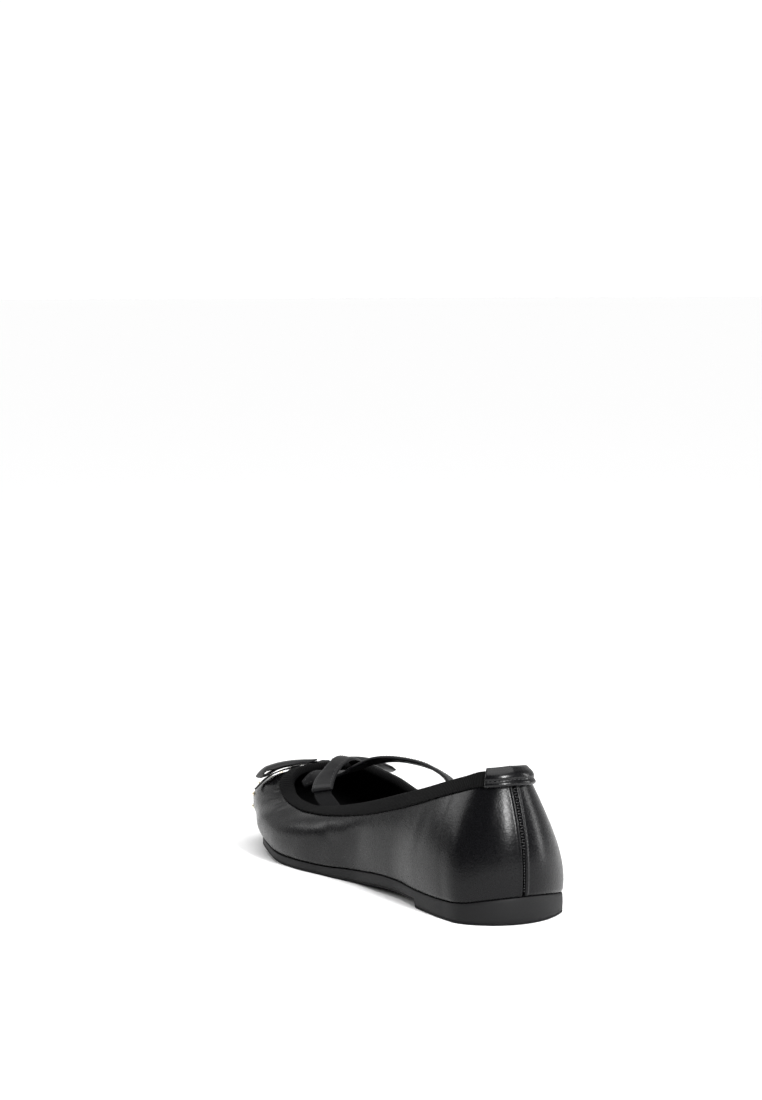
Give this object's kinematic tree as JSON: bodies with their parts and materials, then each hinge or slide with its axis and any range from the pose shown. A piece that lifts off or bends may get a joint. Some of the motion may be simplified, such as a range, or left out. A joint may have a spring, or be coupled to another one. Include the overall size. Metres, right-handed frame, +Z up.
{
  "type": "ballet flat shoe",
  "caption": "Low-heeled flat slip-on shoe with an open throat, crossed instep straps, a small ribbon bow and a row of toe studs.",
  "frame": {"origin": "on the floor under the middle of the heel", "axes": "+X from heel to toe, +Y to the inner side of the foot, +Z up"},
  "size_m": [0.2516, 0.0851, 0.0714],
  "materials": {
    "upper_leather": "smooth, soft sheen",
    "sole": "matt",
    "lining": "matt",
    "tape": "ribbed, matt",
    "studs": "polished pale gold"
  },
  "bodies": {
    "root": {"outsole": "sole", "insole": "lining", "upper": "upper_leather", "topline_binding": "tape", "heel_tab": "upper_leather", "front_strap": "upper_leather", "front_strap_elastic": "tape", "rear_strap": "upper_leather", "bow_loop_inner": "tape", "bow_loop_outer": "tape", "bow_tail_inner": "tape", "bow_tail_outer": "tape", "bow_knot": "tape", "stud_01": "studs", "stud_02": "studs", "stud_03": "studs", "stud_04": "studs", "stud_05": "studs", "stud_06": "studs", "stud_07": "studs", "stud_08": "studs", "stud_09": "studs", "stud_10": "studs", "stud_11": "studs", "stud_12": "studs", "stud_13": "studs"}
  },
  "joints": []
}
